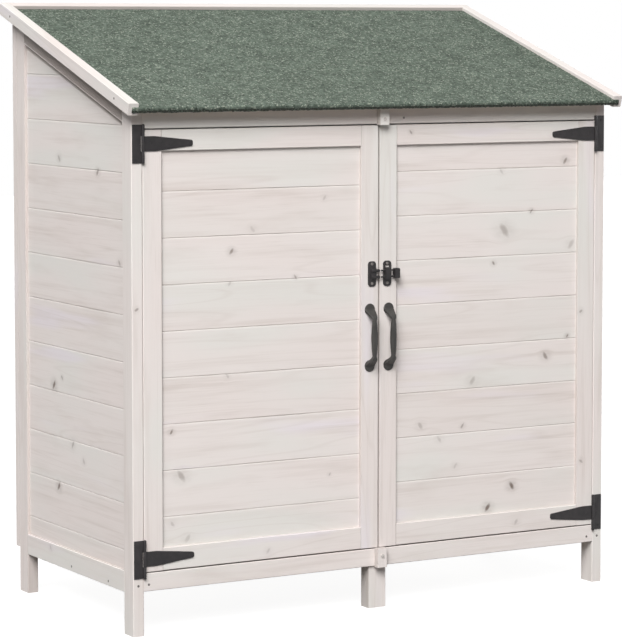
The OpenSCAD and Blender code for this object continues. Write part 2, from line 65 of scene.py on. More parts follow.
# Faces and thicknesses shared with the solids
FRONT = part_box("post_front_left")[0].y
HALF_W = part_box("post_front_right")[1].x
DOOR_FACE = FRONT + 0.0003
PLATE_T = 0.002

# Roof: lengths run up the slope, heights are square to it, from the foot of the barge boards
SLOPE = math.radians(18)
EAVES = 0.032
ROOF_Y = FRONT - EAVES
ROOF_Z = 1.18329
ROOF_LEN = 0.738789
TRIM_W = 0.025
TRIM_H = 0.028
DECK_LEN = ROOF_LEN - TRIM_W
ROOF_NORMAL = Vector((0, -math.sin(SLOPE), math.cos(SLOPE)))
RAIL_FOOT = min(vertex.co.dot(ROOF_NORMAL) for vertex in frame["nodes"]["side_top_rail_left"].data.vertices)

# Felt: it lies between the barge boards and laps over their front ends
FELT_TOP = 0.0205
FELT_T = 0.0025
FELT_HALF_W = HALF_W - 0.0004
FLAP_HALF_W = HALF_W + 0.016
FLAP_DROP = 0.0145
FELT_TOP_GAP = 0.001
FOLD = 0.004

# Boards: the height of one joint and the visible width
LEFT_SEAM, RIGHT_SEAM, DOOR_COVER = 1.009, 1.038, 0.106
WALL_SEAM, BACK_SEAM, WALL_COVER = 0.191, 0.231, 0.1075

# Where the narrow faces with painted shade are: between the posts, low down, or behind the doors
BETWEEN_POSTS = 0.61
SILL_HEIGHT = 0.25
BEHIND_DOORS = FRONT + 0.1

# Camera: a picture of 622 by 640 pixels, whose centre is moved down from the lens axis
IMAGE_W = 622
IMAGE_H = 640
SENSOR_MM = 36
LENS_PX = 2803.96
SHIFT_PX = -80
TURN = math.radians(30.0583)
TILT = math.radians(4.3542)
EYE = (-3.4406, -5.9398, 1.3803)

# Lamps: name, turn from the front, rise, level and size. The fills behind the shed are low.
LAMPS = [
    ("key", -33, 38.5, 0.90, 12.4),
    ("side_key", -50, 45, 0.73, 12.4),
    ("right_fill", 100, 10, 0.6, 6),
    ("back_fill", 165, 10, 0.6, 6),
]
LAMP_DISTANCE = 20
LAMP_AIM = Vector((0, 0, 0.6))
AMBIENT = 0.03
FLOOR_SIZE = 30
FLOOR_GLOW = 0.92

# Knots as (place along the grain, place across it, radius, depth of colour)
LEFT_KNOTS = [
    (-0.392, 0.867, 0.0075, 0.75), (-0.337, 0.916, 0.008, 0.25), (-0.145, 0.982, 0.006, 0.3),
    (-0.223, 0.800, 0.005, 0.6), (-0.397, 0.792, 0.006, 0.3), (-0.403, 0.580, 0.006, 0.3),
    (-0.548, 0.461, 0.006, 0.8), (-0.523, 0.358, 0.013, 0.5), (-0.131, 0.330, 0.004, 0.45),
    (-0.547, 0.250, 0.007, 0.3), (-0.508, 0.212, 0.010, 0.3),
]
RIGHT_KNOTS = [
    (0.539, 1.053, 0.008, 0.75), (0.351, 1.031, 0.007, 0.3), (0.439, 0.932, 0.0055, 0.7),
    (0.360, 0.888, 0.017, 0.5), (0.558, 0.847, 0.012, 0.35), (0.329, 0.809, 0.0055, 0.7),
    (0.548, 0.620, 0.0055, 0.8), (0.483, 0.574, 0.010, 0.7), (0.269, 0.526, 0.011, 0.4),
    (0.121, 0.427, 0.009, 0.4), (0.241, 0.419, 0.006, 0.6), (0.175, 0.390, 0.008, 0.3),
    (0.221, 0.323, 0.007, 0.3), (0.385, 0.261, 0.010, 0.95), (0.315, 0.213, 0.010, 0.95),
]
SIDE_KNOTS = [
    (0.081, 1.070, 0.009, 0.5), (-0.127, 1.047, 0.009, 0.7), (-0.238, 0.845, 0.008, 0.5),
    (0.118, 0.528, 0.011, 0.95), (0.073, 0.550, 0.006, 0.6), (0.015, 0.397, 0.009, 0.5),
    (-0.044, 0.365, 0.008, 0.35), (0.094, 0.287, 0.010, 0.95),
]
BACK_KNOTS = [
    (-0.43, 1.13, 0.009, 0.7), (0.22, 1.22, 0.008, 0.6), (0.47, 0.94, 0.010, 0.8),
    (-0.12, 0.80, 0.008, 0.5), (-0.50, 0.60, 0.010, 0.8), (0.31, 0.49, 0.007, 0.6),
    (0.02, 0.30, 0.009, 0.7), (0.52, 0.24, 0.008, 0.5), (-0.33, 0.21, 0.006, 0.4),
]
RAIL_KNOTS = [(0.394, 0.172, 0.008, 0.35), (0.088, 1.131, 0.005, 0.6), (-0.30, 0.165, 0.007, 0.3)]
POST_KNOTS = [(0.680, 0.584, 0.006, 0.55), (0.307, 0.587, 0.006, 0.5), (0.745, -0.639, 0.005, 0.6)]
SIDE_RAIL_KNOTS = [(0.129, 0.134, 0.008, 0.3)]


def linear(red, green, blue):
    """A colour as a shader takes it, from 0 to 255 as a screen shows it."""
    def channel(value):
        value /= 255
        return value / 12.92 if value <= 0.04045 else ((value + 0.055) / 1.055) ** 2.4
    return (channel(red), channel(green), channel(blue), 1)


# Colours and depths of the timber
WASH = linear(227, 219, 215)
WASH_GREY = linear(223, 220, 215)
WASH_PINK = linear(227, 217, 213)
WASH_LILAC = linear(227, 219, 226)
# Painted highlight along the upper rim of each board
RIM_HIGHLIGHT = linear(238, 233, 229)
GRAIN = linear(196, 184, 176)
KNOT = linear(118, 104, 96)
GRAIN_DEPTH = 0.31
# Depth of the painted shade on the narrow faces inside the frames
EDGE_SHADE_DEPTH = 0.34
# Depth of the painted shadow under the side barge boards
BARGE_SHADOW_DEPTH = 0.6
BARE = linear(212, 194, 166)
BARE_GRAIN = linear(182, 153, 118)
BARE_KNOT = linear(96, 62, 38)
BARE_GRAIN_DEPTH = 0.9


class Graph:
    """The nodes of a material or a world, with short calls that add them."""

    def __init__(self, owner, output="ShaderNodeOutputMaterial"):
        self.owner = owner
        owner.use_nodes = True
        self.tree = owner.node_tree
        self.tree.nodes.clear()
        self.output = self.add(output)

    def add(self, kind, **settings):
        node = self.tree.nodes.new(kind)
        for key, value in settings.items():
            setattr(node, key, value)
        return node

    def put(self, socket, value):
        if isinstance(value, bpy.types.NodeSocket):
            self.tree.links.new(value, socket)
        else:
            socket.default_value = value

    def show(self, shader):
        """Makes this shader node the surface, and returns the material or world."""
        self.put(self.output.inputs["Surface"], shader.outputs[0])
        return self.owner

    def place(self):
        """Coordinates that move with the piece."""
        return self.add("ShaderNodeTexCoord").outputs["Object"]

    def math(self, operation, *values):
        node = self.add("ShaderNodeMath", operation=operation)
        for socket, value in zip(node.inputs, values):
            self.put(socket, value)
        return node.outputs[0]

    def total(self, first, *others):
        for value in others:
            first = self.math("ADD", first, value)
        return first

    def combine(self, x, y, z):
        node = self.add("ShaderNodeCombineXYZ")
        for socket, value in zip(node.inputs, (x, y, z)):
            self.put(socket, value)
        return node.outputs[0]

    def split(self, vector):
        node = self.add("ShaderNodeSeparateXYZ")
        self.put(node.inputs[0], vector)
        return node.outputs

    def length(self, x, y):
        """Length of the arrow (x, y)."""
        return self.math("SQRT", self.math("ADD", self.math("MULTIPLY", x, x), self.math("MULTIPLY", y, y)))

    def noise(self, vector, scale=1.0, detail=2.0, roughness=0.5):
        node = self.add("ShaderNodeTexNoise")
        self.put(node.inputs["Vector"], vector)
        node.inputs["Scale"].default_value = scale
        node.inputs["Detail"].default_value = detail
        node.inputs["Roughness"].default_value = roughness
        return node.outputs["Fac"]

    def ramp(self, value, low, high, start=0.0, end=1.0):
        """A smooth step from start to end as value goes from low to high."""
        node = self.add("ShaderNodeMapRange", interpolation_type="SMOOTHSTEP")
        for socket, number in zip(node.inputs, (value, low, high, start, end)):
            self.put(socket, number)
        return node.outputs[0]

    def mix(self, factor, first, second):
        node = self.add("ShaderNodeMix", data_type="RGBA")
        self.put(node.inputs[0], factor)
        self.put(node.inputs[6], first)
        self.put(node.inputs[7], second)
        return node.outputs[2]

    def bump(self, height, strength, distance):
        node = self.add("ShaderNodeBump")
        node.inputs["Strength"].default_value = strength
        node.inputs["Distance"].default_value = distance
        self.put(node.inputs["Height"], height)
        return node.outputs[0]

    def principled(self, colour, roughness, normal, specular=0.5, metallic=0.0):
        shader = self.add("ShaderNodeBsdfPrincipled")
        self.put(shader.inputs["Base Color"], colour)
        self.put(shader.inputs["Roughness"], roughness)
        self.put(shader.inputs["Normal"], normal)
        shader.inputs["Specular IOR Level"].default_value = specular
        shader.inputs["Metallic"].default_value = metallic
        return self.show(shader)


def material_graph(name):
    return Graph(bpy.data.materials.new(name))


# Timber: unevenness and lean of the knots, half widths of a joint's line, and middle of the light edge that
# the painted barge shadow leaves along the rails' foot
KNOT_WOBBLE = 0.003
KNOT_LEAN = 0.5
JOINT_DARK = 0.0004
JOINT_FADE = 0.0026
RAIL_EDGE = 0.0015


def wood_axes(graph, along, across, turned):
    """Place along the grain, across it and through the board, on the roof slope where turned is true."""
    place = graph.place()
    if turned:
        rotate = graph.add("ShaderNodeVectorRotate", rotation_type="X_AXIS")
        graph.put(rotate.inputs["Vector"], place)
        rotate.inputs["Angle"].default_value = -SLOPE
        place = rotate.outputs[0]
    parts = graph.split(place)
    return [parts[axis] for axis in (along, across, 3 - along - across)]


def knot_marks(graph, a, c, knots):
    """Coordinate across the grain bent round the knots, and how dark each point is because of them."""
    bent, dark = c, 0.0
    uneven = graph.noise(graph.combine(a, c, 0.0), 120, 2)
    wobble = graph.math("SUBTRACT", graph.math("MULTIPLY", uneven, 2 * KNOT_WOBBLE), KNOT_WOBBLE)
    smoke = graph.noise(graph.combine(a, graph.math("MULTIPLY", c, 2.5), 0.0), 45, 3)
    veil = graph.ramp(smoke, 0.35, 0.7, 0.5, 1.0)
    for number, (place_a, place_c, radius, depth) in enumerate(knots):
        da = graph.math("SUBTRACT", a, place_a)
        dc = graph.math("SUBTRACT", c, place_c)

        # The grain swerves round a field that is longer along the grain than across it
        field = graph.length(graph.math("MULTIPLY", da, 0.8), dc)
        pull = graph.ramp(field, 0.0, 3.2 * radius, 0.75, 0.0)
        bent = graph.math("SUBTRACT", bent, graph.math("MULTIPLY", dc, pull))

        # The dark core is longer across the grain, and leans the other way from the one before
        lean = graph.math("MULTIPLY", dc, KNOT_LEAN if number % 2 else -KNOT_LEAN)
        leaning = graph.math("MULTIPLY", graph.math("ADD", da, lean), 1.25)
        edge = graph.math("ADD", graph.length(leaning, graph.math("MULTIPLY", dc, 0.8)), wobble)
        core = graph.ramp(edge, 0.25 * radius, 1.15 * radius, depth, 0.0)

        # A smoky halo lies round it
        halo = graph.math("MULTIPLY", graph.ramp(field, 0.3 * radius, 2.3 * radius, 0.36 * depth, 0.0), veil)
        dark = graph.math("MAXIMUM", dark, graph.math("MAXIMUM", core, halo))
    return bent, dark


def board_joints(graph, a, c, boards, seed):
    """Each board's own tone and shift of its grain, the dark line at its joints and a painted highlight on
    its upper rim.
    """
    seam, cover = boards
    ratio = graph.math("DIVIDE", graph.math("SUBTRACT", c, seam), cover)
    random = graph.add("ShaderNodeTexWhiteNoise", noise_dimensions="1D")
    graph.put(random.inputs["W"], graph.math("ADD", graph.math("FLOOR", ratio), seed + 3.7))
    tone = random.outputs["Value"]
    shift = graph.math("MULTIPLY", tone, 40.0)
    from_joint = graph.math("MULTIPLY", graph.math("PINGPONG", ratio, 0.5), cover)
    line = graph.ramp(from_joint, JOINT_DARK, JOINT_FADE, 1.0, 0.0)
    fade = graph.ramp(graph.noise(graph.combine(a, shift, 0.0), 4.0, 2), 0.48, 0.68, 0.2, 1.0)
    # Painted highlight on the board's upper rim, where its edge would catch the light
    rim = graph.ramp(graph.math("FRACT", ratio), 0.95, 0.98, 0.0, 0.4)
    return tone, shift, graph.math("MULTIPLY", line, fade), rim


def wash_colour(graph, hue, broad):
    """White wash that turns grey, pink and lilac in places."""
    colour = graph.mix(graph.ramp(hue, 0.30, 0.52, 0.9, 0.0), WASH, WASH_GREY)
    colour = graph.mix(graph.ramp(hue, 0.50, 0.68, 0.0, 0.8), colour, WASH_PINK)
    return graph.mix(graph.ramp(broad, 0.60, 0.74, 0.0, 0.6), colour, WASH_LILAC)


def painted_edge_shade(graph):
    """1 on the narrow faces inside the frames, which are darkened as painted shade, and 0 elsewhere."""
    facing = graph.split(graph.add("ShaderNodeTexCoord").outputs["Normal"])
    place = graph.split(graph.place())
    sideways = graph.math("GREATER_THAN", graph.math("ABSOLUTE", facing[0]), 0.5)
    between_posts = graph.math("LESS_THAN", graph.math("ABSOLUTE", place[0]), BETWEEN_POSTS)
    forwards = graph.math("LESS_THAN", facing[1], -0.5)
    behind_doors = graph.math("GREATER_THAN", place[1], BEHIND_DOORS)
    upwards = graph.math("GREATER_THAN", facing[2], 0.99)
    low_down = graph.math("LESS_THAN", place[2], SILL_HEIGHT)
    upright = graph.math("MAXIMUM", graph.math("MULTIPLY", sideways, between_posts),
                         graph.math("MULTIPLY", forwards, behind_doors))
    return graph.math("MAXIMUM", upright, graph.math("MULTIPLY", upwards, low_down))


def painted_barge_shadow(graph):
    """Painted shadow of the barge board on the side wall, as how dark each point is: the rail but for its
    lower edge, and a line below.
    """
    height = graph.add("ShaderNodeVectorMath", operation="DOT_PRODUCT")
    graph.put(height.inputs[0], graph.place())
    graph.put(height.inputs[1], ROOF_NORMAL)
    above = graph.math("SUBTRACT", height.outputs["Value"], RAIL_FOOT)
    below_edge = graph.ramp(above, -0.013, -0.009, 0.0, BARGE_SHADOW_DEPTH)
    from_edge = graph.math("ABSOLUTE", graph.math("SUBTRACT", above, RAIL_EDGE))
    off_edge = graph.ramp(from_edge, 0.0012, 0.003, 0.1, 1.0)
    return graph.math("MULTIPLY", below_edge, off_edge)


def timber(name, along, across, turned=False, boards=None, knots=(), washed=True, barge_shadow=False, seed=0.0):
    """Planed softwood with its grain along one axis. Boards are (a joint's place, visible width)."""
    graph = material_graph(name)
    a, c, t = wood_axes(graph, along, across, turned)
    bent, dark = knot_marks(graph, a, c, knots)
    tone, shift, joint, rim = 0.5, seed, 0.0, 0.0
    if boards:
        tone, shift, joint, rim = board_joints(graph, a, c, boards, seed)
    moved = graph.math("ADD", a, shift)

    def streaks(along_scale, across_scale, detail):
        stretched = graph.combine(
            graph.math("MULTIPLY", moved, along_scale),
            graph.math("MULTIPLY", bent, across_scale),
            graph.math("MULTIPLY", t, across_scale))
        return graph.noise(stretched, 1.0, detail, 0.55)

    broad = streaks(1.6, 11, 2)
    hue = streaks(2.1, 7, 1)
    medium = streaks(2.4, 60, 3)
    fine = streaks(9, 330, 2)
    rings = graph.math("PINGPONG", graph.math("MULTIPLY", streaks(0.9, 13, 1), 7.0), 0.5)
    ring_line = graph.math("MULTIPLY", graph.ramp(rings, 0.0, 0.12, 1.0, 0.0), graph.ramp(broad, 0.35, 0.6))
    streaky = graph.math(
        "ADD", graph.ramp(medium, 0.45, 0.78, 0.0, 0.9), graph.ramp(fine, 0.5, 0.85, 0.0, 0.6))
    grain = graph.total(
        graph.math("MULTIPLY", streaky, graph.ramp(hue, 0.35, 0.65, 0.5, 1.4)),
        graph.math("MULTIPLY", ring_line, 0.5),
        graph.ramp(streaks(4.5, 24, 3), 0.5, 0.78, 0.0, 0.7),
        graph.math("MULTIPLY", graph.math("SUBTRACT", tone, 0.35), 0.45))
    if washed:
        colour, grain_colour, depth, deep = wash_colour(graph, hue, broad), GRAIN, GRAIN_DEPTH, KNOT
    else:
        colour, grain_colour, depth, deep = BARE, BARE_GRAIN, BARE_GRAIN_DEPTH, BARE_KNOT
    share = graph.math("MAXIMUM", graph.math("MULTIPLY", grain, depth), 0.0)
    colour = graph.mix(graph.math("MINIMUM", share, 1.0), colour, grain_colour)
    # Painted highlight along each board's upper rim
    colour = graph.mix(rim, colour, RIM_HIGHLIGHT)
    colour = graph.mix(graph.math("MULTIPLY", joint, 0.4), colour, deep)
    colour = graph.mix(dark, colour, deep)
    if washed:
        # Painted shade on the narrow faces inside the frames
        painted_shade = graph.math("MULTIPLY", painted_edge_shade(graph), EDGE_SHADE_DEPTH)
        # On the side walls, painted shadow under the barge boards
        if barge_shadow:
            painted_shade = graph.math("MAXIMUM", painted_shade, painted_barge_shadow(graph))
        colour = graph.mix(painted_shade, colour, KNOT)
    height = graph.math("ADD", medium, graph.math("MULTIPLY", fine, 0.6))
    height = graph.math("SUBTRACT", height, graph.math("ADD", dark, joint))
    return graph.principled(
        colour, graph.ramp(fine, 0.2, 0.8, 0.56, 0.72), graph.bump(height, 0.25, 0.0004), specular=0.3)


# Felt, iron and zinc

def felt_material():
    """Bitumen felt dressed with green mineral grit."""
    graph = material_graph("mineral_felt")
    place = graph.place()
    cells = graph.add("ShaderNodeTexVoronoi", feature="F1")
    graph.put(cells.inputs["Vector"], place)
    cells.inputs["Scale"].default_value = 330
    cell_colour = graph.add("ShaderNodeSeparateColor")
    graph.put(cell_colour.inputs[0], cells.outputs["Color"])
    pick = cell_colour.outputs[0]
    clump = graph.noise(place, 105, 3, 0.65)
    patch = graph.noise(place, 22, 3, 0.6)
    colour = graph.mix(graph.ramp(patch, 0.35, 0.65), linear(85, 95, 85), linear(101, 112, 101))
    colour = graph.mix(graph.ramp(clump, 0.36, 0.52, 0.7, 0.0), colour, linear(60, 69, 60))
    colour = graph.mix(graph.ramp(clump, 0.55, 0.70, 0.0, 0.65), colour, linear(133, 142, 130))
    colour = graph.mix(graph.ramp(pick, 0.0, 0.16, 0.75, 0.0), colour, linear(44, 50, 44))
    colour = graph.mix(graph.ramp(pick, 0.86, 0.97, 0.0, 0.7), colour, linear(168, 174, 160))
    height = graph.math("ADD", graph.math("MULTIPLY", pick, 0.7), clump)
    return graph.principled(colour, 0.92, graph.bump(height, 0.9, 0.0012), specular=0.2)


def bitumen_material():
    """The dark torn edge of the felt, with grit left on it in places."""
    graph = material_graph("felt_edge")
    grit = graph.noise(graph.place(), 210, 3, 0.7)
    colour = graph.mix(graph.ramp(grit, 0.5, 0.68), linear(44, 47, 42), linear(96, 108, 96))
    return graph.principled(colour, 0.85, graph.bump(grit, 0.9, 0.001), specular=0.25)


def iron_material(name, dark, light, smooth):
    """Satin black coat on iron, with the fine pebbled skin of the powder."""
    graph = material_graph(name)
    place = graph.place()
    pebbles = graph.noise(place, 900, 2, 0.6)
    cloud = graph.noise(place, 60, 3, 0.5)
    colour = graph.mix(graph.ramp(cloud, 0.3, 0.7), dark, light)
    roughness = graph.ramp(pebbles, 0.3, 0.7, smooth, smooth + 0.12)
    return graph.principled(colour, roughness, graph.bump(pebbles, 0.25, 0.0003), specular=0.3)


def zinc_material(name, dark, light, metallic):
    """Dull zinc on the heads of the screws."""
    graph = material_graph(name)
    cloud = graph.noise(graph.place(), 500, 3, 0.6)
    colour = graph.mix(graph.ramp(cloud, 0.3, 0.7), dark, light)
    roughness = graph.ramp(cloud, 0.3, 0.7, 0.35, 0.5)
    return graph.principled(colour, roughness, graph.bump(cloud, 0.2, 0.0002), metallic=metallic)


# Surroundings

def seen_ray(graph):
    """1 for a ray that shows the surroundings, straight or in metal and glass, else 0."""
    path = graph.add("ShaderNodeLightPath").outputs
    return graph.math("MAXIMUM", graph.math("MAXIMUM", path["Is Camera Ray"], path["Is Glossy Ray"]),
                      path["Is Transmission Ray"])


def floor_material():
    """A pale floor that shows white and keeps a faint shadow."""
    graph = material_graph("pale_floor")
    speckle = graph.noise(graph.place(), 40, 2)
    matt = graph.add("ShaderNodeBsdfDiffuse")
    graph.put(matt.inputs["Color"], graph.mix(speckle, linear(122, 122, 122), linear(130, 130, 130)))
    glow = graph.add("ShaderNodeEmission")
    graph.put(glow.inputs["Strength"], graph.math("MULTIPLY", seen_ray(graph), FLOOR_GLOW))
    both = graph.add("ShaderNodeAddShader")
    graph.put(both.inputs[0], matt.outputs[0])
    graph.put(both.inputs[1], glow.outputs[0])
    return graph.show(both)


def studio_world():
    """White where it is seen, and a weak even light for everything else."""
    graph = Graph(bpy.data.worlds.new("studio"), "ShaderNodeOutputWorld")
    background = graph.add("ShaderNodeBackground")
    background.inputs["Color"].default_value = (1, 1, 1, 1)
    graph.put(background.inputs["Strength"], graph.ramp(seen_ray(graph), 0.0, 1.0, AMBIENT, 1.0))
    return graph.show(background)


# Meshes

def on_slope(x, up_slope, square):
    """A point given across the roof, up its slope and square to it."""
    return Vector((
        x,
        ROOF_Y + up_slope * math.cos(SLOPE) - square * math.sin(SLOPE),
        ROOF_Z + up_slope * math.sin(SLOPE) + square * math.cos(SLOPE),
    ))


def add_object(name, data):
    thing = bpy.data.objects.new(name, data)
    bpy.context.scene.collection.objects.link(thing)
    return thing


def add_piece(name, points, faces, body, material):
    mesh = bpy.data.meshes.new(name)
    mesh.from_pydata([tuple(p) for p in points], [], faces)
    piece = add_object(name, mesh)
    mesh.materials.append(material)
    for polygon in mesh.polygons:
        polygon.use_smooth = True
    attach(piece, body)
    return piece


def apply_modifiers(piece):
    """Replaces the mesh by what its modifiers make of it."""
    bpy.context.view_layer.update()
    graph = bpy.context.evaluated_depsgraph_get()
    result = bpy.data.meshes.new_from_object(piece.evaluated_get(graph))
    piece.modifiers.clear()
    piece.data = result


def copy_of_node(node, material):
    """A welded copy of a CAD node's mesh, as a new piece that replaces the node."""
    source = frame["nodes"][node]
    mesh = source.data.copy()
    shape = bmesh.new()
    shape.from_mesh(mesh)
    bmesh.ops.remove_doubles(shape, verts=shape.verts, dist=2e-6)
    bmesh.ops.dissolve_limit(shape, angle_limit=math.radians(1), verts=shape.verts, edges=shape.edges)
    shape.to_mesh(mesh)
    shape.free()
    if mesh.has_custom_normals:
        mesh.normals_split_custom_set_from_vertices([(0, 0, 0)] * len(mesh.vertices))
    piece = add_object("made_" + node, mesh)
    mesh.materials.clear()
    mesh.materials.append(material)
    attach(piece, source["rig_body"])
    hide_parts(node)
    return piece


CASTING_VOXEL = 0.0009
CASTING_ROUNDS = 12


def softened(node, material):
    """A casting: the node's shape with its edges rounded as by a mould."""
    piece = copy_of_node(node, material)
    remesh = piece.modifiers.new("voxels", "REMESH")
    remesh.mode = "VOXEL"
    remesh.voxel_size = CASTING_VOXEL
    remesh.use_smooth_shade = True
    smooth = piece.modifiers.new("smooth", "SMOOTH")
    smooth.factor = 0.5
    smooth.iterations = CASTING_ROUNDS
    apply_modifiers(piece)


def pressed(node, material, width):
    """Pressed sheet iron: the node's shape with round edges of this width."""
    piece = copy_of_node(node, material)
    bevel = piece.modifiers.new("edges", "BEVEL")
    bevel.width = width
    bevel.segments = 2
    bevel.limit_method = "ANGLE"
    bevel.angle_limit = math.radians(40)
    apply_modifiers(piece)
    for polygon in piece.data.polygons:
        polygon.use_smooth = True
    piece.data.set_sharp_from_angle(angle=math.radians(35))


# Screw heads: widths are shares of the radius, heights shares of the rise. The first ring is under the rim.
SCREW_SIDES = 32
SCREW_RINGS = [1.0, 1.0, 0.96, 0.88, 0.76, 0.66, 0.56, 0.46, 0.36, 0.26, 0.16, 0.08]
SCREW_SUNK = 0.3
SCREW_DOME = 0.75
RECESS_REACH = 0.6
RECESS_HALF_W = 0.15
RECESS_DEPTH = 0.75


def screw_mesh(centre, outward, radius, rise, points, faces):
    """Adds a domed screw head with a cross recess to a list of points and faces."""
    out = Vector(outward).normalized()
    side = out.orthogonal().normalized()
    other = out.cross(side)
    start = len(points)
    for row, share in enumerate(SCREW_RINGS):
        for step in range(SCREW_SIDES):
            angle = 2 * math.pi * step / SCREW_SIDES
            u, v = share * math.cos(angle), share * math.sin(angle)
            height = -SCREW_SUNK * rise if row == 0 else rise * (1 - SCREW_DOME * share ** 3)
            if share < RECESS_REACH and min(abs(u), abs(v)) < RECESS_HALF_W:
                height -= RECESS_DEPTH * rise
            points.append(Vector(centre) + radius * (u * side + v * other) + height * out)
    for row in range(len(SCREW_RINGS) - 1):
        low = start + row * SCREW_SIDES
        high = low + SCREW_SIDES
        for step in range(SCREW_SIDES):
            following = (step + 1) % SCREW_SIDES
            faces.append((low + step, low + following, high + following, high + step))
    last = start + (len(SCREW_RINGS) - 1) * SCREW_SIDES
    faces.append(tuple(last + step for step in range(SCREW_SIDES)))
    faces.append(tuple(start + step for step in reversed(range(SCREW_SIDES))))


def screws(name, places, outward, radius, rise, body, material):
    points, faces = [], []
    for place in places:
        screw_mesh(place, outward, radius, rise, points, faces)
    add_piece(name, points, faces, body, material)


# Mesh of the felt: its spacing, and the rows round the fold, down the flap and dark at the lower edge
FELT_STEP = 0.005
FOLD_ROWS = 4
FLAP_ROWS = 8
DARK_ROWS = 5

# The sheet is thinner and lies lower than the solid felt, which leaves room for its unevenness
SHEET_T = FELT_T - 0.0008
SHEET_DROP = 0.0006
GRIT_H = 0.0004
LUMP_H = 0.0005
TEAR_H = 0.0035


def felt_rows():
    """The rows from the top of the roof to the torn edge, as (part, place up the slope, drop)."""
    top = DECK_LEN - FELT_TOP_GAP
    last = round(DECK_LEN / FELT_STEP) - 1
    rows = [("roof", top - (top - FOLD) * j / last, 0.0) for j in range(last + 1)]
    for j in range(1, FOLD_ROWS + 1):
        angle = math.pi / 2 * j / FOLD_ROWS
        rows.append(("fold", FOLD - (FOLD + FELT_T) * math.sin(angle), FOLD * (math.cos(angle) - 1)))
    for j in range(1, FLAP_ROWS + 1):
        rows.append(("flap", -FELT_T, -FOLD - (FLAP_DROP - FOLD) * j / FLAP_ROWS))
    return rows


def felt_point(x, part, up, drop, torn):
    """A point of the sheet, uneven from its grit and, on the last row, torn."""
    grit = noise.noise(Vector((x * 210, up * 210 + drop * 300, 7.7))) * GRIT_H
    square = FELT_TOP + drop - SHEET_DROP
    if part == "roof":
        lump = noise.noise(Vector((x * 14, up * 14, 3.1))) * LUMP_H
        return on_slope(max(-FELT_HALF_W, min(FELT_HALF_W, x)), up, square + (lump + grit))
    if torn:
        square += abs(noise.noise(Vector((x * 170, 0.0, 1.3)))) * TEAR_H
    return on_slope(x, up - grit, square)


def face_upwards(mesh):
    shape = bmesh.new()
    shape.from_mesh(mesh)
    bmesh.ops.recalc_face_normals(shape, faces=shape.faces)
    if sum(face.normal.z for face in shape.faces) < 0:
        bmesh.ops.reverse_faces(shape, faces=shape.faces)
    shape.to_mesh(mesh)
    shape.free()


def felt_sheet(material, edge_material):
    """The felt laid on the roof boards and turned down over the front, with a torn lower edge."""
    columns = round(2 * FLAP_HALF_W / FELT_STEP)
    xs = [-FLAP_HALF_W + 2 * FLAP_HALF_W * i / columns for i in range(columns + 1)]
    rows = felt_rows()
    points, index = [], {}
    for row, (part, up, drop) in enumerate(rows):
        for column, x in enumerate(xs):
            if part == "roof" and abs(x) > FELT_HALF_W + FELT_STEP / 2:
                continue
            index[row, column] = len(points)
            points.append(felt_point(x, part, up, drop, row == len(rows) - 1))
    faces, slots = [], []
    for row in range(len(rows) - 1):
        for column in range(columns):
            corners = [(row, column), (row, column + 1), (row + 1, column + 1), (row + 1, column)]
            if all(corner in index for corner in corners):
                faces.append(tuple(index[corner] for corner in corners))
                slots.append(1 if row >= len(rows) - 1 - DARK_ROWS else 0)
    piece = add_piece("laid_felt", points, faces, "carcass", material)
    piece.data.materials.append(edge_material)
    for polygon, slot in zip(piece.data.polygons, slots):
        polygon.material_index = slot
    face_upwards(piece.data)
    thick = piece.modifiers.new("thickness", "SOLIDIFY")
    thick.thickness = SHEET_T
    thick.offset = -1
    thick.material_offset_rim = 1
    apply_modifiers(piece)
    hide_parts("roof_felt")


# Finishes
upright = timber("washed_upright", 2, 0, knots=POST_KNOTS, seed=1.3)
crosswise = timber("washed_crosswise", 0, 2, knots=RAIL_KNOTS, seed=2.1)
lengthwise = timber("washed_lengthwise", 1, 2, knots=SIDE_RAIL_KNOTS, seed=4.9)
sloping = timber("washed_sloping", 1, 2, turned=True, seed=6.2)
# The side top rails carry the painted shadow of the barge boards
barge_shadowed_rail = timber("side_top_rail_painted_shadow", 1, 2, turned=True, barge_shadow=True, seed=6.2)
rear_edge = timber("washed_rear_edge", 0, 1, turned=True, seed=7.7)
left_panel = timber("washed_left_door", 0, 2, boards=(LEFT_SEAM, DOOR_COVER), knots=LEFT_KNOTS, seed=11.0)
right_panel = timber("washed_right_door", 0, 2, boards=(RIGHT_SEAM, DOOR_COVER), knots=RIGHT_KNOTS, seed=23.0)
# The side walls carry a painted shadow line below their top rails
side_panel = timber(
    "washed_side_wall", 1, 2, boards=(WALL_SEAM, WALL_COVER), knots=SIDE_KNOTS, barge_shadow=True, seed=37.0)
back_panel = timber("washed_back_wall", 0, 2, boards=(BACK_SEAM, WALL_COVER), knots=BACK_KNOTS, seed=51.0)
bare_deck = timber("bare_roof_boards", 0, 1, turned=True, washed=False, seed=3.3)
bare_floor = timber("bare_floor_boards", 0, 1, washed=False, seed=8.8)
bare_bearer = timber("bare_bearers", 1, 0, washed=False, seed=9.4)
felt = felt_material()
felt_edge = bitumen_material()
iron = iron_material("black_iron_plate", linear(36, 34, 35), linear(45, 42, 43), 0.42)
cast_iron = iron_material("black_iron_casting", linear(54, 53, 51), linear(64, 62, 60), 0.36)
zinc = zinc_material("dull_zinc", linear(92, 88, 86), linear(122, 117, 114), 0.85)
washed_zinc = zinc_material("washed_zinc", linear(176, 170, 165), linear(204, 198, 193), 0.0)

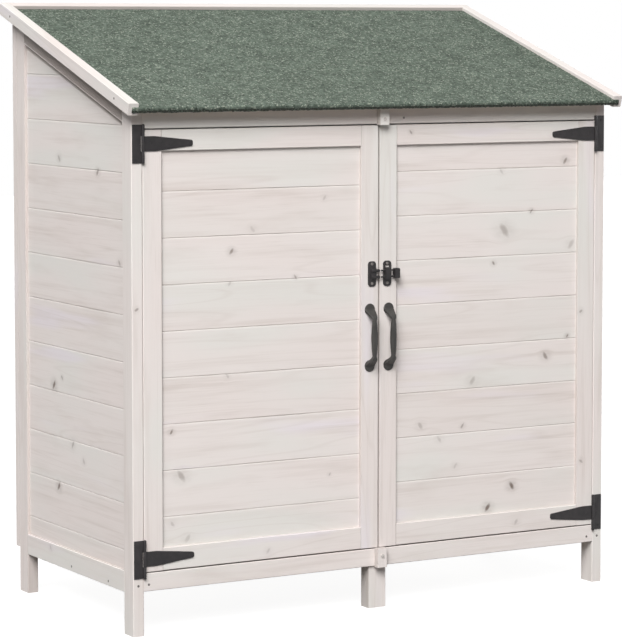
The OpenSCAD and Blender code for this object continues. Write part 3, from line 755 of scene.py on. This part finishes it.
FINISHES = {
    upright: [
        "post_front_left", "post_front_right", "post_rear_left", "post_rear_right", "leg_front_middle",
        "back_stile_left", "back_stile_right", "left_hinge_stile", "left_lock_stile",
        "right_hinge_stile", "right_lock_stile", "turn_button_top", "turn_button_bottom"],
    crosswise: [
        "front_rail", "header", "back_top_rail", "back_bottom_rail", "left_top_rail", "left_bottom_rail",
        "right_top_rail", "right_bottom_rail"],
    lengthwise: ["side_bottom_rail_left", "side_bottom_rail_right"],
    sloping: ["barge_left", "barge_right"],
    barge_shadowed_rail: ["side_top_rail_left", "side_top_rail_right"],
    rear_edge: ["rear_trim"],
    left_panel: ["left_door_boards"],
    right_panel: ["right_door_boards"],
    side_panel: ["side_boards_left", "side_boards_right"],
    back_panel: ["back_boards"],
    bare_deck: ["roof_boards"],
    bare_floor: ["floor_boards"],
    bare_bearer: ["floor_bearers"],
    iron: ["hinge_pins"],
    washed_zinc: ["turn_button_screws"],
}
for material, nodes in FINISHES.items():
    for node in nodes:
        for slot in frame["nodes"][node].material_slots:
            slot.material = material

# Roof
felt_sheet(felt, felt_edge)

# Ironmongery
SHEET_EDGE = 0.0004
LATCH_EDGE = 0.0006
SIDES = {"left": -1, "right": 1}
for side in SIDES:
    softened("handle_" + side, cast_iron)
    for level in ("top", "bottom"):
        pressed("leaf_" + side + "_" + level, iron, SHEET_EDGE)
        pressed("strap_" + side + "_" + level, iron, SHEET_EDGE)
for node in ("latch_plate", "latch_keeper", "latch_bolt"):
    pressed(node, iron, LATCH_EDGE)

# Hinge screws, placed from the pins
PIN_X = 0.6222
HINGE_LEVELS = (0.176, 1.118)
LEAF_SCREWS = [(-0.017, 0.033), (-0.017, -0.033), (-0.013, 0.0)]
STRAP_SCREWS = [0.022, 0.068, 0.112]
HINGE_SCREW_R = 0.0032
HINGE_SCREW_RISE = 0.0007
for side, sign in SIDES.items():
    leaf_places = [
        (sign * (PIN_X - x), FRONT - PLATE_T, level + z)
        for level in HINGE_LEVELS for x, z in LEAF_SCREWS]
    screws("leaf_screws_" + side, leaf_places, (0, -1, 0), HINGE_SCREW_R, HINGE_SCREW_RISE,
           "carcass", iron)
    strap_places = [
        (sign * (PIN_X - x), DOOR_FACE - PLATE_T, level)
        for level in HINGE_LEVELS for x in STRAP_SCREWS]
    screws("strap_screws_" + side, strap_places, (0, -1, 0), HINGE_SCREW_R, HINGE_SCREW_RISE,
           side + "_door", iron)

# Latch screws
LATCH_Z = 0.799
LATCH_X = {"left": -0.020, "right": 0.022}
LATCH_SCREWS = (-0.0225, 0.0235)
LATCH_SCREW_R = 0.0036
LATCH_SCREW_RISE = 0.001
for side, x in LATCH_X.items():
    places = [(x, DOOR_FACE - PLATE_T, LATCH_Z + z) for z in LATCH_SCREWS]
    screws("latch_screws_" + side, places, (0, -1, 0), LATCH_SCREW_R, LATCH_SCREW_RISE,
           side + "_door", zinc)

# Wood screws
FRONT_SCREWS = [(-0.637, 0.116), (-0.6105, 0.117), (0.6055, 0.116), (0.637, 0.1155), (0.068, 1.1655)]
SIDE_SCREWS = [(0.327, 0.108), (0.129, 0.107)]
BARGE_SCREWS = [0.075, 0.672]
WOOD_SCREW_R = 0.0029
WOOD_SCREW_RISE = 0.0005


def wood_screws(name, places, outward):
    screws(name, places, outward, WOOD_SCREW_R, WOOD_SCREW_RISE, "carcass", zinc)


wood_screws("front_screws", [(x, FRONT, z) for x, z in FRONT_SCREWS], (0, -1, 0))
for side, sign in SIDES.items():
    wood_screws("side_screws_" + side, [(sign * HALF_W, FRONT + y, z) for y, z in SIDE_SCREWS], (sign, 0, 0))
    barge_places = [on_slope(sign * (HALF_W + TRIM_W), up, TRIM_H / 2) for up in BARGE_SCREWS]
    wood_screws("barge_screws_" + side, barge_places, (sign, 0, 0))

# Floor and background
half = FLOOR_SIZE / 2
floor_corners = [(-half, -half, 0), (half, -half, 0), (half, half, 0), (-half, half, 0)]
floor_mesh = bpy.data.meshes.new("floor")
floor_mesh.from_pydata(floor_corners, [], [(0, 1, 2, 3)])
floor_mesh.materials.append(floor_material())
add_object("floor", floor_mesh)
bpy.context.scene.world = studio_world()


def soft_lamp(name, turn, rise, level, size):
    """A disc that gives a white surface facing it this level of brightness."""
    data = bpy.data.lights.new(name, "AREA")
    data.shape = "DISK"
    data.size = size
    data.energy = level * math.pi ** 2 * LAMP_DISTANCE ** 2
    turn, rise = math.radians(turn), math.radians(rise)
    towards = Vector((math.sin(turn) * math.cos(rise), -math.cos(turn) * math.cos(rise), math.sin(rise)))
    lamp = add_object(name, data)
    lamp.location = LAMP_AIM + LAMP_DISTANCE * towards
    lamp.rotation_euler = towards.to_track_quat("Z", "Y").to_euler()


for lamp in LAMPS:
    soft_lamp(*lamp)

# Camera
camera_data = bpy.data.cameras.new("camera")
camera_data.sensor_width = SENSOR_MM
camera_data.lens = LENS_PX * SENSOR_MM / max(IMAGE_W, IMAGE_H)
camera_data.shift_y = SHIFT_PX / max(IMAGE_W, IMAGE_H)
camera = add_object("camera", camera_data)
camera.location = EYE
camera.rotation_euler = (math.pi / 2 - TILT, 0, -TURN)
bpy.context.scene.camera = camera
bpy.context.scene.view_settings.view_transform = "Standard"
